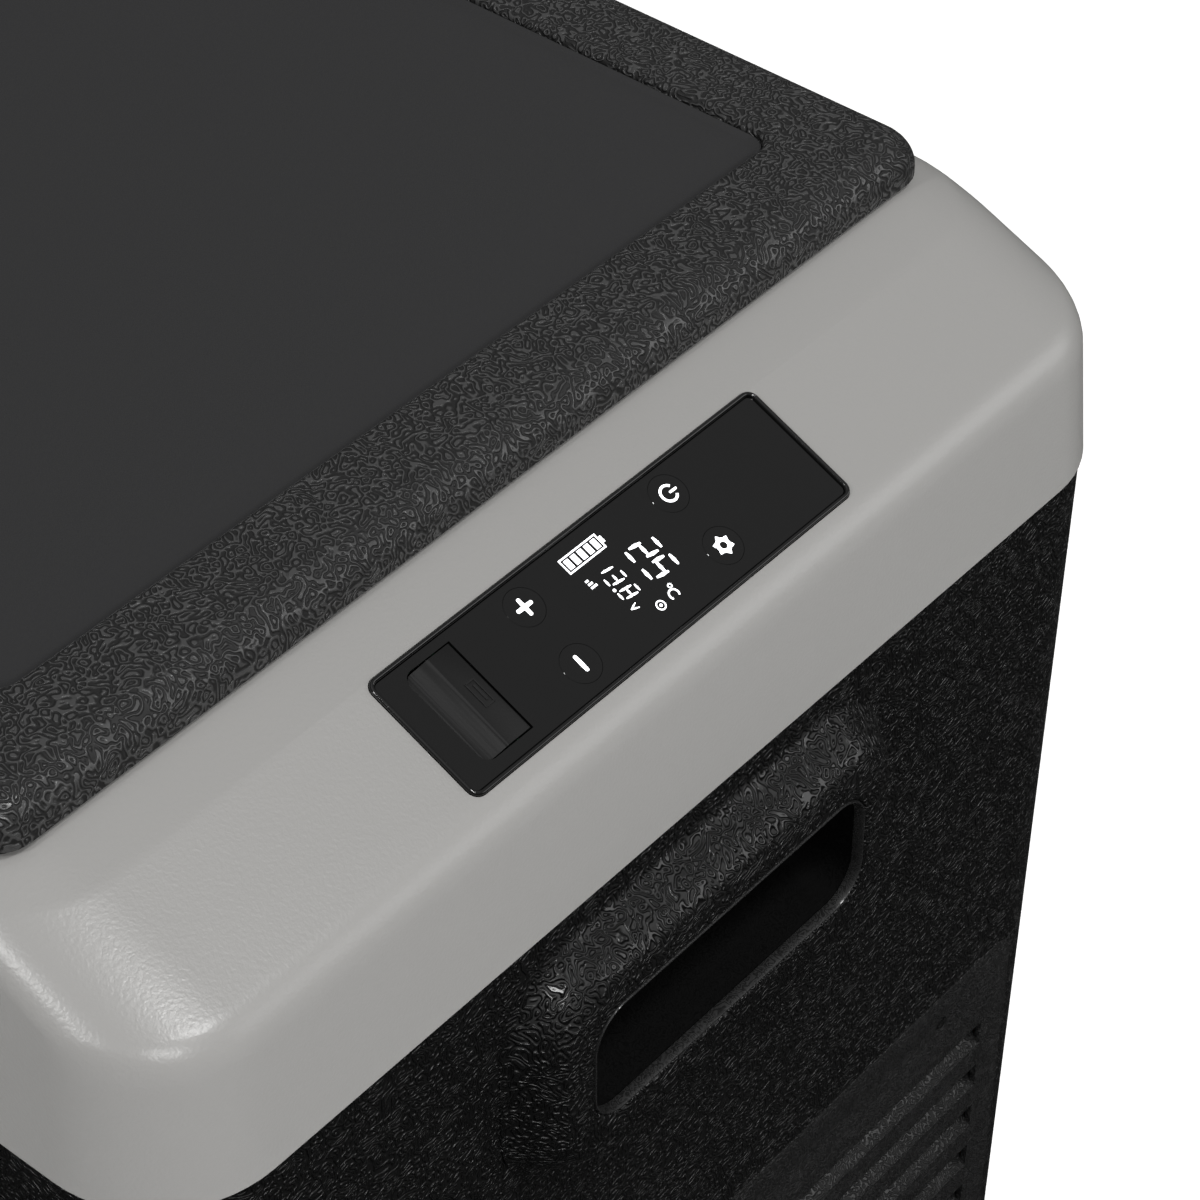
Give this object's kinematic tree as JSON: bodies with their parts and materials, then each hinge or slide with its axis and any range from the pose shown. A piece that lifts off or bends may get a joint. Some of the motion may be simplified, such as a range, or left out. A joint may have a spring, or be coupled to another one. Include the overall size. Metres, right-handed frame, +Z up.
{
  "type": "portable compressor cooler",
  "caption": "Portable compressor cooler with a stepped tub under a hinged lid, a sloped control panel at one end, moulded end grips and a louvred compressor bay.",
  "frame": {"origin": "middle of the footprint, on the floor under the feet", "axes": "+X along the length towards the control end, +Y towards the hinged side, +Z up"},
  "size_m": [0.6, 0.345, 0.42],
  "materials": {
    "body_black": "leather-grain moulded",
    "trim_black": "fine satin",
    "frame_grey": "fine-grained satin",
    "lid_black": "leather-grain moulded",
    "inlay_black": "smooth satin",
    "liner_grey": "smooth food-safe",
    "foam": "blown polyurethane foam",
    "gloss_black": "polished",
    "rubber_black": "moulded",
    "zinc_steel": "zinc plated",
    "black_screw": "black oxide",
    "compressor_paint": "black enamel",
    "aluminium": "mill",
    "copper": "drawn copper",
    "pin_brass": "plated",
    "board_green": "solder mask",
    "probe_black": "epoxy",
    "lamp_white": "milky lens",
    "display_white": "lit"
  },
  "bodies": {
    "casing": {"body_shell": "body_black", "base_plate": "trim_black", "rubber_feet": "rubber_black", "base_screws": "zinc_steel", "grip_surround_right": "body_black", "grip_surround_left": "body_black", "grip_cup_right": "trim_black", "grip_cup_left": "trim_black", "end_grille": "trim_black", "side_grille_front": "trim_black", "side_grille_back": "trim_black", "grille_screws": "black_screw", "top_frame": "frame_grey", "tub_liner": "liner_grey", "insulation_foam": "foam", "bay_partition": "aluminium", "evaporator_coil": "aluminium", "interior_lamp": "lamp_white", "temperature_probe": "probe_black", "compressor_shell": "compressor_paint", "compressor_plate": "compressor_paint", "compressor_grommets": "rubber_black", "compressor_bolts": "zinc_steel", "compressor_terminal_cover": "trim_black", "condenser_fins": "aluminium", "condenser_tubes": "copper", "fan_frame": "trim_black", "filter_drier": "copper", "discharge_pipe": "copper", "suction_pipe": "copper", "capillary_tube": "copper", "driver_case": "aluminium", "dc_inlet": "trim_black", "dc_inlet_pins": "pin_brass", "control_bezel": "gloss_black", "control_overlay": "gloss_black", "display_module": "gloss_black", "display_segments": "display_white", "control_board": "board_green", "usb_port": "zinc_steel", "frame_hinge_brackets": "black_screw", "hinge_pins": "zinc_steel", "hinge_screws": "zinc_steel"},
    "lid": {"lid_shell": "lid_black", "lid_inlay": "inlay_black", "lid_foam": "foam", "lid_liner": "liner_grey", "lid_gasket": "rubber_black", "lid_hinge_leaves": "black_screw", "lid_striker": "zinc_steel", "lid_screws": "zinc_steel"},
    "lock": {"lock_slider": "trim_black"},
    "usb_flap": {"usb_cover": "rubber_black"},
    "power_button": {"power_key": "gloss_black"},
    "settings_button": {"settings_key": "gloss_black"},
    "plus_button": {"plus_key": "gloss_black"},
    "minus_button": {"minus_key": "gloss_black"},
    "fan": {"fan_rotor": "trim_black"}
  },
  "joints": [
    {"name": "lid_hinge", "type": "hinge", "parent": "casing", "child": "lid", "pos_m": [-0.0203, 0.1635, 0.409], "axis": [-1, 0, 0], "range_deg": [0, 95]},
    {"name": "lock_slide", "type": "slide", "parent": "casing", "child": "lock", "axis": [1, 0, 0], "range_m": [0, 0.009]},
    {"name": "usb_cover_hinge", "type": "hinge", "parent": "casing", "child": "usb_flap", "pos_m": [0.26408, -0.0435, 0.39505], "axis": [-0.9121, 0, 0.4099], "range_deg": [0, 100]},
    {"name": "fan_spin", "type": "hinge", "parent": "casing", "child": "fan", "pos_m": [0.2035, 0.1125, 0.105], "axis": [0, 1, 0], "continuous": true},
    {"name": "power_press", "type": "slide", "parent": "casing", "child": "power_button", "axis": [-0.4099, 0, -0.9121], "range_m": [0, 0.0003], "stiffness_N_per_m": 1500},
    {"name": "settings_press", "type": "slide", "parent": "casing", "child": "settings_button", "axis": [-0.4099, 0, -0.9121], "range_m": [0, 0.0003], "stiffness_N_per_m": 1500},
    {"name": "plus_press", "type": "slide", "parent": "casing", "child": "plus_button", "axis": [-0.4099, 0, -0.9121], "range_m": [0, 0.0003], "stiffness_N_per_m": 1500},
    {"name": "minus_press", "type": "slide", "parent": "casing", "child": "minus_button", "axis": [-0.4099, 0, -0.9121], "range_m": [0, 0.0003], "stiffness_N_per_m": 1500}
  ]
}
